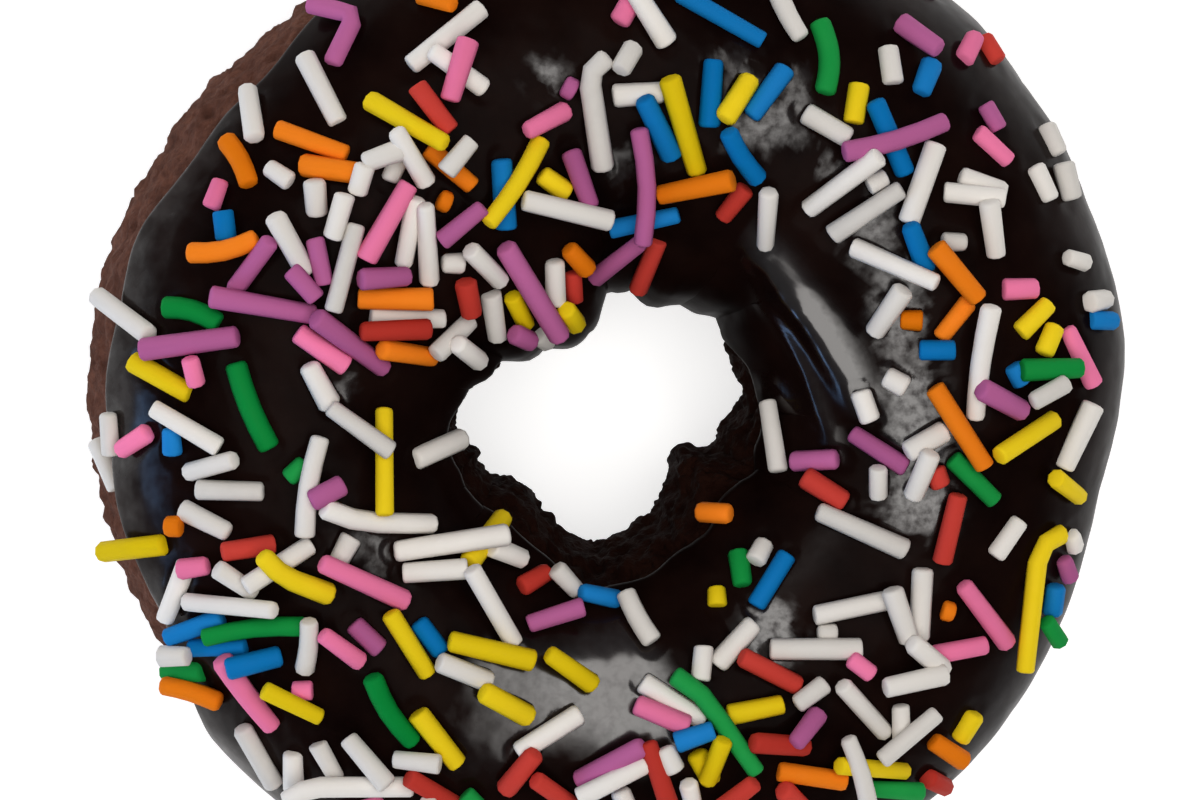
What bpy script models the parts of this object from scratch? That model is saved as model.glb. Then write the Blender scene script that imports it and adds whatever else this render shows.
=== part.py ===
"""Sprinkle frosted doughnut: a ring of dark cake dough under a poured cap of chocolate frosting.

Metres, +Z up. The ring rests on Z = 0, its hole runs along Z, and its box is centred on the Z axis.
A place on the ring has two angles. The turn goes about the Z axis from +X. The lean goes round the
section: nothing at the outer side, a quarter turn at the crown, half a turn at the hole's wall.
"""

import math
from collections import namedtuple

import bmesh
import bpy
from mathutils import Vector

MM = 0.001
DEGREE = math.pi / 180
QUARTER = math.pi / 2
FULL_TURN = math.pi * 2

Swell = namedtuple("Swell", "turn width size")
Wave = namedtuple("Wave", "count turn size")

# Dough: a lumpy ring with a rounded section, cut flat underneath where it rests.
OUTER_RADIUS = 44.0 * MM
HOLE_RADIUS = 11.4 * MM
WIDEST_HEIGHT = 14.0 * MM
CROWN_RISE = 16.6 * MM
BASE_DROP = 15.6 * MM
CROWN_SQUARENESS = 2.15
BASE_SQUARENESS = 2.5

OUTER_SWELLS = (
    Swell(turn=172 * DEGREE, width=44 * DEGREE, size=2.2 * MM),
    Swell(turn=134 * DEGREE, width=13 * DEGREE, size=-0.8 * MM),
    Swell(turn=42 * DEGREE, width=16 * DEGREE, size=1.1 * MM),
    Swell(turn=347 * DEGREE, width=12 * DEGREE, size=-1.0 * MM),
    Swell(turn=310 * DEGREE, width=14 * DEGREE, size=0.5 * MM),
    Swell(turn=226 * DEGREE, width=12 * DEGREE, size=0.5 * MM),
)
HOLE_SWELLS = (
    Swell(turn=120 * DEGREE, width=24 * DEGREE, size=-4.2 * MM),
    Swell(turn=320 * DEGREE, width=17 * DEGREE, size=-3.7 * MM),
    Swell(turn=226 * DEGREE, width=14 * DEGREE, size=-0.4 * MM),
    Swell(turn=192 * DEGREE, width=21 * DEGREE, size=2.7 * MM),
    Swell(turn=262 * DEGREE, width=19 * DEGREE, size=1.9 * MM),
    Swell(turn=36 * DEGREE, width=15 * DEGREE, size=0.7 * MM),
    Swell(turn=0 * DEGREE, width=16 * DEGREE, size=0.6 * MM),
)
CROWN_WAVES = (
    Wave(count=1, turn=200 * DEGREE, size=0.5 * MM),
    Wave(count=3, turn=25 * DEGREE, size=0.45 * MM),
    Wave(count=5, turn=70 * DEGREE, size=0.3 * MM),
)
WIDEST_WAVES = (
    Wave(count=2, turn=130 * DEGREE, size=0.8 * MM),
    Wave(count=5, turn=10 * DEGREE, size=0.35 * MM),
)

# Frosting: a cap poured over the crown, with rounded lips and a wavy rim at each side.
FROSTING_GAP = 0.3 * MM
CROWN_THICKNESS = 2.0 * MM
LIP_THICKNESS = 1.4 * MM
OUTER_LIP = -14 * DEGREE
INNER_LIP = 139 * DEGREE

OUTER_LIP_SWELLS = (
    Swell(turn=109 * DEGREE, width=17 * DEGREE, size=28 * DEGREE),
    Swell(turn=138 * DEGREE, width=22 * DEGREE, size=42 * DEGREE),
    Swell(turn=172 * DEGREE, width=24 * DEGREE, size=36 * DEGREE),
    Swell(turn=206 * DEGREE, width=21 * DEGREE, size=40 * DEGREE),
    Swell(turn=28 * DEGREE, width=13 * DEGREE, size=-7 * DEGREE),
    Swell(turn=63 * DEGREE, width=15 * DEGREE, size=8 * DEGREE),
    Swell(turn=93 * DEGREE, width=12 * DEGREE, size=-9 * DEGREE),
    Swell(turn=232 * DEGREE, width=13 * DEGREE, size=-9 * DEGREE),
    Swell(turn=262 * DEGREE, width=13 * DEGREE, size=7 * DEGREE),
    Swell(turn=292 * DEGREE, width=12 * DEGREE, size=-7 * DEGREE),
    Swell(turn=334 * DEGREE, width=14 * DEGREE, size=9 * DEGREE),
)
INNER_LIP_SWELLS = (
    Swell(turn=122 * DEGREE, width=34 * DEGREE, size=43 * DEGREE),
    Swell(turn=68 * DEGREE, width=20 * DEGREE, size=22 * DEGREE),
    Swell(turn=38 * DEGREE, width=22 * DEGREE, size=28 * DEGREE),
    Swell(turn=0 * DEGREE, width=22 * DEGREE, size=13 * DEGREE),
    Swell(turn=250 * DEGREE, width=14 * DEGREE, size=-2 * DEGREE),
    Swell(turn=292 * DEGREE, width=18 * DEGREE, size=2 * DEGREE),
)

# Facets
TURN_STEPS = 72
DOUGH_STEPS = 32
CAP_STEPS = 15
LIP_STEPS = 3
SLOPE_REACH = 0.4 * DEGREE

# The plain round ring that each piece is spun as before it is made uneven.
MEAN_RADIUS = (OUTER_RADIUS + HOLE_RADIUS) / 2
TUBE_RADIUS = (OUTER_RADIUS - HOLE_RADIUS) / 2

DOUGH_COLOUR = (0.089, 0.041, 0.031, 1.0)
DOUGH_ROUGHNESS = 0.85
FROSTING_COLOUR = (0.010, 0.004, 0.003, 1.0)
FROSTING_ROUGHNESS = 0.18


def swelling(swells, turn):
    """Sum of soft swells at a turn, each fading out to both sides of its own turn."""
    total = 0.0
    for swell in swells:
        apart = math.remainder(turn - swell.turn, FULL_TURN)
        total += swell.size * math.exp(-((apart / swell.width) ** 2))
    return total


def waving(waves, turn):
    """Sum of even waves that run round the ring."""
    return sum(wave.size * math.cos(wave.count * (turn - wave.turn)) for wave in waves)


def rounded(value, squareness):
    """A sine or cosine, bent so that the oval it draws is a little square."""
    return math.copysign(abs(value) ** (2 / squareness), value)


def dough_point(turn, lean):
    """Point on the dough's surface."""
    outer = OUTER_RADIUS + swelling(OUTER_SWELLS, turn)
    hole = HOLE_RADIUS + swelling(HOLE_SWELLS, turn)
    widest = WIDEST_HEIGHT + waving(WIDEST_WAVES, turn)
    crown = WIDEST_HEIGHT + CROWN_RISE + waving(CROWN_WAVES, turn)
    upper = math.sin(lean) >= 0
    squareness = CROWN_SQUARENESS if upper else BASE_SQUARENESS
    rise = crown - widest if upper else BASE_DROP
    across = rounded(math.cos(lean), squareness)
    reach = outer - MEAN_RADIUS if across >= 0 else MEAN_RADIUS - hole
    radius = MEAN_RADIUS + reach * across
    height = widest + rise * rounded(math.sin(lean), squareness)
    return Vector((radius * math.cos(turn), radius * math.sin(turn), max(height, 0.0)))


def raised_point(turn, lean, stand_off):
    """Point that stands off the dough's surface, square to it."""
    along_turn = dough_point(turn + SLOPE_REACH, lean) - dough_point(turn - SLOPE_REACH, lean)
    along_lean = dough_point(turn, lean + SLOPE_REACH) - dough_point(turn, lean - SLOPE_REACH)
    return dough_point(turn, lean) + along_turn.cross(along_lean).normalized() * stand_off


def dough_outline():
    """Lean and stand-off round the dough's section."""
    return [(FULL_TURN * step / DOUGH_STEPS, 0.0) for step in range(DOUGH_STEPS)]


def frosting_outline():
    """Lean and stand-off round the cap's section: over the top, round a lip, back under, round a lip."""
    half_lip = LIP_THICKNESS / 2
    middle = FROSTING_GAP + half_lip
    over = []
    under = []
    for step in range(CAP_STEPS + 1):
        share = step / CAP_STEPS
        lean = OUTER_LIP + (INNER_LIP - OUTER_LIP) * share
        thickness = LIP_THICKNESS + (CROWN_THICKNESS - LIP_THICKNESS) * math.sin(math.pi * share)
        over.append((lean, FROSTING_GAP + thickness))
        under.append((lean, FROSTING_GAP))
    lips = {}
    for edge, side in ((OUTER_LIP, -1), (INNER_LIP, 1)):
        lips[side] = []
        for step in range(1, LIP_STEPS):
            bend = math.pi * step / LIP_STEPS
            reach = side * half_lip * math.sin(bend) / TUBE_RADIUS
            lips[side].append((edge + reach, middle + half_lip * math.cos(bend)))
    return over + lips[1] + under[::-1] + lips[-1][::-1]


def on_dough(turn, lean):
    """The dough keeps its own lean."""
    return lean


def on_frosting(turn, lean):
    """Slide the cap round the section so that its rims follow the wavy lips."""
    outer = OUTER_LIP + swelling(OUTER_LIP_SWELLS, turn)
    inner = INNER_LIP + swelling(INNER_LIP_SWELLS, turn)
    if lean < OUTER_LIP:
        return lean + outer - OUTER_LIP
    if lean > INNER_LIP:
        return lean + inner - INNER_LIP
    if lean < QUARTER:
        return QUARTER + (lean - QUARTER) * (QUARTER - outer) / (QUARTER - OUTER_LIP)
    return QUARTER + (lean - QUARTER) * (inner - QUARTER) / (INNER_LIP - QUARTER)


def spun_ring(outline):
    """Spin a section's outline about Z into a plain round ring."""
    ring = bmesh.new()
    points = []
    for lean, stand_off in outline:
        radius = TUBE_RADIUS + stand_off
        points.append(ring.verts.new((MEAN_RADIUS + radius * math.cos(lean), 0, radius * math.sin(lean))))
    edges = [ring.edges.new((point, points[at - 1])) for at, point in enumerate(points)]
    bmesh.ops.spin(
        ring, geom=points + edges, cent=(0, 0, 0), axis=(0, 0, 1),
        angle=FULL_TURN, steps=TURN_STEPS, use_merge=True)
    return ring


def make_uneven(ring, slide):
    """Carry each vertex of the plain ring to its place on the lumpy dough."""
    for vertex in ring.verts:
        turn = math.atan2(vertex.co.y, vertex.co.x)
        out = math.hypot(vertex.co.x, vertex.co.y) - MEAN_RADIUS
        lean = math.atan2(vertex.co.z, out)
        if lean < -QUARTER:
            lean += FULL_TURN
        stand_off = math.hypot(out, vertex.co.z) - TUBE_RADIUS
        vertex.co = raised_point(turn, slide(turn, lean), stand_off)


def finish(name, colour, roughness):
    """Plain material of one colour and gloss."""
    material = bpy.data.materials.new(name)
    material.use_nodes = True
    shader = material.node_tree.nodes["Principled BSDF"]
    shader.inputs["Base Color"].default_value = colour
    shader.inputs["Roughness"].default_value = roughness
    shader.inputs["Metallic"].default_value = 0.0
    return material


def body(name, outline, slide, material):
    """One piece of the doughnut as a named object."""
    ring = spun_ring(outline)
    make_uneven(ring, slide)
    bmesh.ops.recalc_face_normals(ring, faces=ring.faces)
    mesh = bpy.data.meshes.new(name)
    ring.to_mesh(mesh)
    ring.free()
    mesh.shade_smooth()
    mesh.materials.append(material)
    piece = bpy.data.objects.new(name, mesh)
    bpy.context.collection.objects.link(piece)
    return piece


def centre(pieces):
    """Move the pieces together so that their common box is centred on the Z axis."""
    places = [vertex.co for piece in pieces for vertex in piece.data.vertices]
    shift_x = -(min(place.x for place in places) + max(place.x for place in places)) / 2
    shift_y = -(min(place.y for place in places) + max(place.y for place in places)) / 2
    for piece in pieces:
        piece.location = (shift_x, shift_y, 0)


def main():
    for leftover in list(bpy.data.objects):
        bpy.data.objects.remove(leftover, do_unlink=True)
    dough = body(
        "dough", dough_outline(), on_dough, finish("dough", DOUGH_COLOUR, DOUGH_ROUGHNESS))
    frosting = body(
        "frosting", frosting_outline(), on_frosting,
        finish("frosting", FROSTING_COLOUR, FROSTING_ROUGHNESS))
    centre([dough, frosting])


main()
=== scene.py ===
import math
import random

import bmesh
import bpy
import numpy as np
from mathutils import Matrix, Vector, noise
from mathutils.bvhtree import BVHTree
from mathutils.kdtree import KDTree


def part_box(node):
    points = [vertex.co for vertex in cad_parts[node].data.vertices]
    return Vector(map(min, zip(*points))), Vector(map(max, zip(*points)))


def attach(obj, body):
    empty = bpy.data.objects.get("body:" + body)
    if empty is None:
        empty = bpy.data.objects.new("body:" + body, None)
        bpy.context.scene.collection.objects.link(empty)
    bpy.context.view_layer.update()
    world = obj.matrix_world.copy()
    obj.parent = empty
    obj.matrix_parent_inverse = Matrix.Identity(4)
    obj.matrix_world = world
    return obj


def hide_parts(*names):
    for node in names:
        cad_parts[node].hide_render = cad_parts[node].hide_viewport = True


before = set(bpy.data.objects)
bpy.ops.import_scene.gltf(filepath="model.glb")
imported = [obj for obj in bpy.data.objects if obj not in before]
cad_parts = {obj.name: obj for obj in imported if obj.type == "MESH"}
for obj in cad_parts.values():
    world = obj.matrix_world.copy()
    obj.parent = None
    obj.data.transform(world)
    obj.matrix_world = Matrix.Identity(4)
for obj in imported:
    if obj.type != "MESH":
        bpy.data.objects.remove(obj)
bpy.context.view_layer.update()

mm = 0.001
fullTurn = 2 * math.pi
scene = bpy.context.scene


# Reading the frame: how far each CAD surface lies from the ring's core, for every turn and lean

def nodeCoords(node):
    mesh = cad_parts[node].data
    coords = np.zeros(len(mesh.vertices) * 3)
    mesh.vertices.foreach_get("co", coords)
    return coords.reshape(-1, 3)


doughLow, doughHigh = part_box("dough")
frostingLow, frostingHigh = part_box("frosting")
doughRadii = np.hypot(*nodeCoords("dough")[:, :2].T)
coreRadius = (doughRadii.min() + doughRadii.max()) / 2
coreHeight = (doughLow.z + doughHigh.z) / 2
crownThickness = frostingHigh.z - doughHigh.z


def smoothTree(node):
    # a merged copy in quads again, rounded by subdivision, to measure from
    bm = bmesh.new()
    bm.from_mesh(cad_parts[node].data)
    bmesh.ops.remove_doubles(bm, verts=bm.verts, dist=0.00001)
    bmesh.ops.join_triangles(bm, faces=bm.faces, angle_face_threshold=math.radians(50),
                             angle_shape_threshold=math.radians(60))
    mesh = bpy.data.meshes.new("measure")
    bm.to_mesh(mesh)
    bm.free()
    holder = bpy.data.objects.new("measure", mesh)
    scene.collection.objects.link(holder)
    rounder = holder.modifiers.new("rounder", "SUBSURF")
    rounder.levels = rounder.render_levels = 2
    tree = BVHTree.FromObject(holder, bpy.context.evaluated_depsgraph_get())
    bpy.data.objects.remove(holder)
    bpy.data.meshes.remove(mesh)
    return tree


def polarMap(node, turns=360, leans=240):
    tree = smoothTree(node)
    grid = np.zeros((turns, leans))
    for row in range(turns):
        turn = fullTurn * row / turns
        out = Vector((math.cos(turn), math.sin(turn), 0))
        core = out * coreRadius + Vector((0, 0, coreHeight))
        for column in range(leans):
            lean = fullTurn * column / leans
            way = out * math.cos(lean) + Vector((0, 0, math.sin(lean)))
            grid[row, column] = (tree.ray_cast(core, way)[0] - core).length
    return grid


def splineWeights(part):
    return ((1 - part) ** 3 / 6, (3 * part ** 3 - 6 * part ** 2 + 4) / 6,
            (1 + 3 * part + 3 * part ** 2 - 3 * part ** 3) / 6, part ** 3 / 6)


def readMap(grid, turn, lean):
    # smooth reading of a grid that wraps both ways
    rows, columns = grid.shape
    row, column = turn / fullTurn * rows, lean / fullTurn * columns
    row0, column0 = np.floor(row).astype(int), np.floor(column).astype(int)
    total = 0
    for i, rowWeight in enumerate(splineWeights(row - row0)):
        for j, columnWeight in enumerate(splineWeights(column - column0)):
            total = total + rowWeight * columnWeight * grid[(row0 + i - 1) % rows, (column0 + j - 1) % columns]
    return total


def corePoint(turn, lean, reach):
    radius = coreRadius + reach * np.cos(lean)
    return np.stack((radius * np.cos(turn), radius * np.sin(turn), coreHeight + reach * np.sin(lean)), axis=-1)


# Corners and notches of the torn-looking edge: the turn of each, half its width and how far it stands out.
holeSteps = (
    (69, 12, 1.25), (38, 10, -0.95), (99, 12, -1.7), (131, 9, -0.4), (145, 7, 0.75), (153, 6, -0.5),
    (162, 7, 0.9), (174, 8, 0.3), (201, 5, 0.9), (216, 7, -1.0), (232, 9, 0.25), (266, 9, -0.5),
    (301, 9, 0.6), (334, 9, -1.5), (358, 6, -0.5),
)
rimSteps = ((6, 17, 0.7), (37, 8, -0.5), (143, 6, 0.35), (201, 9, 0.5))


def stepsAt(turn, steps):
    total = 0 * turn
    for middle, half, out in steps:
        apart = np.abs(np.remainder(turn - math.radians(middle) + math.pi, fullTurn) - math.pi)
        total = total + out * mm * np.clip(1 - apart / math.radians(half), 0, 1)
    return total


def soften(share):
    share = np.clip(share, 0, 1)
    return share * share * (3 - 2 * share)


def doughSurface(turn, lean):
    # the dough's surface in the frame, with the corners of its hole and rim
    degrees = np.degrees(lean)
    inHole = soften((degrees - 118) / 40) * soften((270 - degrees) / 30)
    onRim = soften((degrees + 90) / 50) * soften((75 - degrees) / 50)
    reach = readMap(doughMap, turn, lean) + inHole * stepsAt(turn, holeSteps) + onRim * stepsAt(turn, rimSteps)
    return corePoint(turn, lean, reach)


def doughNormal(turn, lean):
    step = math.radians(0.6)
    along = doughSurface(turn + step, lean) - doughSurface(turn - step, lean)
    across = doughSurface(turn, lean + step) - doughSurface(turn, lean - step)
    normal = np.cross(along, across)
    return normal / np.linalg.norm(normal, axis=-1, keepdims=True)


def lipLeans(columns=72):
    # where the frosting's outer and inner lips lie round the section, for each turn
    coords = nodeCoords("frosting")
    turn = np.arctan2(coords[:, 1], coords[:, 0])
    lean = np.arctan2(coords[:, 2] - coreHeight, np.hypot(coords[:, 0], coords[:, 1]) - coreRadius)
    lean = np.where(lean < -math.pi / 2, lean + fullTurn, lean)
    column = np.round(turn / fullTurn * columns).astype(int) % columns
    outer = np.array([lean[column == at].min() for at in range(columns)])
    inner = np.array([lean[column == at].max() for at in range(columns)])
    return outer.reshape(-1, 1), inner.reshape(-1, 1)


print("reading the frame")
doughMap = polarMap("dough")
outerLipMap, innerLipMap = lipLeans()


# Meshes

def plainRing(turns, around):
    # a round section stood up beside the axis and spun into a closed ring
    tube = 10 * mm
    bm = bmesh.new()
    bmesh.ops.create_circle(bm, cap_ends=False, segments=around, radius=tube)
    bmesh.ops.rotate(bm, verts=bm.verts, cent=(0, 0, 0), matrix=Matrix.Rotation(math.pi / 2, 3, "X"))
    bmesh.ops.translate(bm, verts=bm.verts, vec=(coreRadius, 0, 0))
    bmesh.ops.spin(bm, geom=bm.verts[:] + bm.edges[:], cent=(0, 0, 0), axis=(0, 0, 1),
                   angle=fullTurn, steps=turns, use_merge=True)
    coords = np.array([vert.co for vert in bm.verts])
    turn = np.arctan2(coords[:, 1], coords[:, 0]) % fullTurn
    lean = np.arctan2(coords[:, 2], np.hypot(coords[:, 0], coords[:, 1]) - coreRadius)
    place = np.round((lean / fullTurn - 0.25) * around).astype(int) % around
    return bm, turn, place


def spread(zones):
    # steps of uneven size: each zone has a start, an end and a number of steps
    return np.concatenate([np.linspace(start, end, steps, endpoint=False) for start, end, steps in zones])


def setCoords(bm, coords):
    for vert, place in zip(bm.verts, coords):
        vert.co = place
    bm.normal_update()


def addAttribute(mesh, name, values):
    mesh.attributes.new(name, "FLOAT", "POINT").data.foreach_set("value", np.asarray(values, np.float32))


def finishPiece(name, bm, material, attributes=None, replaces=()):
    bmesh.ops.recalc_face_normals(bm, faces=bm.faces)
    mesh = bpy.data.meshes.new(name)
    bm.to_mesh(mesh)
    bm.free()
    mesh.shade_smooth()
    mesh.materials.append(material)
    for key, values in (attributes or {}).items():
        addAttribute(mesh, key, values)
    piece = bpy.data.objects.new(name, mesh)
    scene.collection.objects.link(piece)
    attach(piece, "root")
    if replaces:
        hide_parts(*replaces)
    print(name, "has", len(mesh.polygons), "faces")
    return piece


def noiseAt(coords, size, octaves=1, seed=0):
    # signed cloud noise whose lumps are about as wide as size
    shift = Vector((seed * 7.3, seed * 3.1, seed * 5.7))
    return np.array([noise.fractal(Vector(place) / size + shift, 0.9, 2.1, octaves) for place in coords])


def pitsAt(coords, size, seed=0):
    # 1 at the middle of each scattered pit, falling to 0 at its rim
    shift = Vector((seed * 4.9, seed * 8.3, seed * 2.7))
    near = np.array([noise.voronoi(Vector(place) / size + shift)[0][0] for place in coords])
    return np.clip(1 - near / 0.42, 0, 1)


# Materials

def newGroup(name, inputs, outputs):
    group = bpy.data.node_groups.new(name, "ShaderNodeTree")
    for label, value in inputs.items():
        socket = group.interface.new_socket(label, in_out="INPUT", socket_type="NodeSocketFloat")
        socket.default_value = value
    for label in outputs:
        group.interface.new_socket(label, in_out="OUTPUT", socket_type="NodeSocketFloat")
    start = group.nodes.new("NodeGroupInput")
    end = group.nodes.new("NodeGroupOutput")
    return group, start, end


def add(tree, kind, **values):
    node = tree.nodes.new(kind)
    for key, value in values.items():
        setattr(node, key, value)
    return node


def noiseNode(tree, detail, roughness=0.55):
    node = add(tree, "ShaderNodeTexNoise")
    node.inputs["Detail"].default_value = detail
    node.inputs["Roughness"].default_value = roughness
    return node


def makeMottle():
    # slow patches and fine specks together, 0 to 1
    group, start, end = newGroup("mottle", {"Scale": 300.0, "Contrast": 2.0, "Shift": 0.0}, ["Mask"])
    links = group.links
    where = add(group, "ShaderNodeTexCoord")
    moved = add(group, "ShaderNodeVectorMath", operation="ADD")
    clouds = noiseNode(group, 4.0)
    centred = add(group, "ShaderNodeMath", operation="SUBTRACT")
    centred.inputs[1].default_value = 0.5
    stretched = add(group, "ShaderNodeMath", operation="MULTIPLY_ADD", use_clamp=True)
    stretched.inputs[2].default_value = 0.5
    links.new(where.outputs["Object"], moved.inputs[0])
    links.new(start.outputs["Shift"], moved.inputs[1])
    links.new(moved.outputs[0], clouds.inputs["Vector"])
    links.new(start.outputs["Scale"], clouds.inputs["Scale"])
    links.new(clouds.outputs[0], centred.inputs[0])
    links.new(centred.outputs[0], stretched.inputs[0])
    links.new(start.outputs["Contrast"], stretched.inputs[1])
    links.new(stretched.outputs[0], end.inputs["Mask"])
    return group


def makeGrain():
    # fine bumpy grain with small pores, as a height from 0 to 1
    group, start, end = newGroup("grain", {"Scale": 2500.0, "Pore Scale": 1200.0, "Pore Depth": 0.5}, ["Height"])
    links = group.links
    where = add(group, "ShaderNodeTexCoord")
    fine = noiseNode(group, 3.0, 0.6)
    pores = add(group, "ShaderNodeTexVoronoi", feature="F1")
    hollow = add(group, "ShaderNodeMapRange")
    hollow.inputs["From Max"].default_value = 0.45
    hollow.inputs["To Min"].default_value = 1.0
    hollow.inputs["To Max"].default_value = 0.0
    deep = add(group, "ShaderNodeMath", operation="MULTIPLY")
    joined = add(group, "ShaderNodeMath", operation="SUBTRACT")
    links.new(where.outputs["Object"], fine.inputs["Vector"])
    links.new(where.outputs["Object"], pores.inputs["Vector"])
    links.new(start.outputs["Scale"], fine.inputs["Scale"])
    links.new(start.outputs["Pore Scale"], pores.inputs["Scale"])
    links.new(pores.outputs["Distance"], hollow.inputs["Value"])
    links.new(hollow.outputs[0], deep.inputs[0])
    links.new(start.outputs["Pore Depth"], deep.inputs[1])
    links.new(fine.outputs[0], joined.inputs[0])
    links.new(deep.outputs[0], joined.inputs[1])
    links.new(joined.outputs[0], end.inputs["Height"])
    return group


mottle = makeMottle()
grain = makeGrain()


def placeGroup(tree, group, **values):
    node = add(tree, "ShaderNodeGroup", node_tree=group)
    for label, value in values.items():
        node.inputs[label.replace("_", " ")].default_value = value
    return node


def blendColours(tree, factor, first, second):
    # each colour is a fixed value or a socket to read
    node = add(tree, "ShaderNodeMix", data_type="RGBA")
    tree.links.new(factor, node.inputs["Factor"])
    for socket, colour in ((node.inputs[6], first), (node.inputs[7], second)):
        if isinstance(colour, tuple):
            socket.default_value = (*colour, 1)
        else:
            tree.links.new(colour, socket)
    return node.outputs[2]


def spanValues(tree, factor, low, high):
    node = add(tree, "ShaderNodeMapRange")
    node.inputs["To Min"].default_value = low
    node.inputs["To Max"].default_value = high
    tree.links.new(factor, node.inputs["Value"])
    return node.outputs[0]


def bumpFrom(tree, height, strength, distance):
    node = add(tree, "ShaderNodeBump")
    node.inputs["Strength"].default_value = strength
    node.inputs["Distance"].default_value = distance
    tree.links.new(height, node.inputs["Height"])
    return node.outputs[0]


def newMaterial(name):
    material = bpy.data.materials.new(name)
    material.use_nodes = True
    tree = material.node_tree
    return material, tree, tree.nodes["Principled BSDF"]


def attributeOf(tree, name):
    return add(tree, "ShaderNodeAttribute", attribute_name=name).outputs["Fac"]


# Dough

dough = dict(
    turns=640,
    leans=((-60, 45, 64), (45, 125, 10), (125, 235, 54), (235, 300, 22)),   # degrees from, to, steps
    lumpSize=6 * mm, lumpHeight=0.30 * mm,
    crumbSize=2.0 * mm, crumbHeight=0.55 * mm,
    pitSize=2.4 * mm, pitDepth=0.50 * mm,
    holeRough=1.3,                       # how much rougher the hole's wall is
    crust=(0.168, 0.068, 0.044), crustDark=(0.062, 0.024, 0.016),
    # near black: the crumb's own darker colour, and painted shade for the hole's wall and the pits
    crumbAndShade=(0.010, 0.0026, 0.0013),
)


def doughMaterial():
    material, tree, shader = newMaterial("dough")
    patches = placeGroup(tree, mottle, Scale=380, Contrast=2.4)
    specks = placeGroup(tree, mottle, Scale=1500, Contrast=3.4, Shift=0.3)
    crust = blendColours(tree, spanValues(tree, patches.outputs[0], 0.3, 1.0), dough["crustDark"], dough["crust"])
    speckled = blendColours(tree, spanValues(tree, specks.outputs[0], 0.0, 0.6), crust, dough["crustDark"])
    # The hole's wall and the pits blend to the near-black colour: partly the crumb, partly painted shade.
    crumbAndShadeBlend = blendColours(tree, attributeOf(tree, "crumbAndShade"), speckled, dough["crumbAndShade"])
    tree.links.new(crumbAndShadeBlend, shader.inputs["Base Color"])
    tree.links.new(spanValues(tree, patches.outputs[0], 0.95, 0.75), shader.inputs["Roughness"])
    shader.inputs["Specular IOR Level"].default_value = 0.05
    pores = placeGroup(tree, grain, Scale=2600, Pore_Scale=1400, Pore_Depth=0.8)
    tree.links.new(bumpFrom(tree, pores.outputs[0], 0.7, 0.3 * mm), shader.inputs["Normal"])
    return material


def makeDough():
    zones = [(math.radians(low), math.radians(high), steps) for low, high, steps in dough["leans"]]
    leans = spread(zones)
    bm, turn, place = plainRing(dough["turns"], len(leans))
    lean = leans[place]
    coords = doughSurface(turn, lean)
    normals = doughNormal(turn, lean)
    inside = np.clip((np.degrees(lean) - 120) / 25, 0, 1) * np.clip((262 - np.degrees(lean)) / 30, 0, 1)
    rough = 1 + (dough["holeRough"] - 1) * inside
    pits = pitsAt(coords, dough["pitSize"])
    height = dough["lumpHeight"] * noiseAt(coords, dough["lumpSize"], 2, 1)
    height += dough["crumbHeight"] * rough * noiseAt(coords, dough["crumbSize"], 3, 2)
    height -= dough["pitDepth"] * rough * pits ** 1.5
    covered = np.clip((np.degrees(lean) - 48) / 6, 0, 1) * np.clip((122 - np.degrees(lean)) / 6, 0, 1)
    coords = coords + normals * (height * (1 - covered))[:, None]
    coords[:, 2] = np.maximum(coords[:, 2], 0)
    setCoords(bm, coords)
    # darker in the hole and in the pits: partly the open crumb, partly painted shade in these recesses
    crumbAndShadeBlend = np.clip(inside * 0.96 + pits * 0.5, 0, 1)
    return finishPiece("dough_ring", bm, doughMaterial(), {"crumbAndShade": crumbAndShadeBlend}, ["dough"])


print("dough")
doughRing = makeDough()


# Frosting

frosting = dict(
    turns=640,
    shares=((0, 0.03, 9), (0.03, 0.97, 112), (0.97, 1, 9)),   # from the outer lip to the inner one
    underSteps=8, tuck=0.35 * mm,
    lipThickness=1.7 * mm, lipRound=1.3 * mm, edge=0.6 * mm,
    waveSize=11 * mm, waveHeight=0.22 * mm,
    lumpSize=3.4 * mm, lumpHeight=0.09 * mm,
    rippleSize=1.5 * mm, rippleHeight=0.035 * mm,
    # lip is a pale brown along the frosting's edges: partly the thin glaze there, partly a painted highlight on the
    # lip
    dark=(0.003, 0.0008, 0.0006), brown=(0.009, 0.0035, 0.0026), lip=(0.13, 0.09, 0.068),
    wellDepth=0.13 * mm, wellReach=0.32 * mm,
    gloss=0.006, glossMost=1.0, sideGloss=0.34, ragged=1.8 * mm, coatIor=1.8, coatRoughness=0.16,
)

# Long folds that run round the inner slope: turns at their two ends, radii there and midway, width, height, gloss.
folds = (
    dict(turns=(-2, 58), radii=(21.2, 18.9, 19.6), width=1.2, height=0.85, gloss=1.3),
    dict(turns=(-14, 54), radii=(19.8, 17.1, 17.8), width=0.6, height=0.35, gloss=0.5),
    dict(turns=(-2, 14), radii=(15.6, 15.0, 14.4), width=0.8, height=0.3, gloss=0.4),
    dict(turns=(292, 335), radii=(19.5, 20.0, 20.5), width=1.3, height=0.25, gloss=0.03),
    dict(turns=(196, 240), radii=(18.5, 19.0, 19.5), width=1.2, height=0.2, gloss=0.05),
    dict(turns=(246, 294), radii=(21.2, 21.0, 21.2), width=2.4, height=0.35, gloss=0.0),
)

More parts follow.
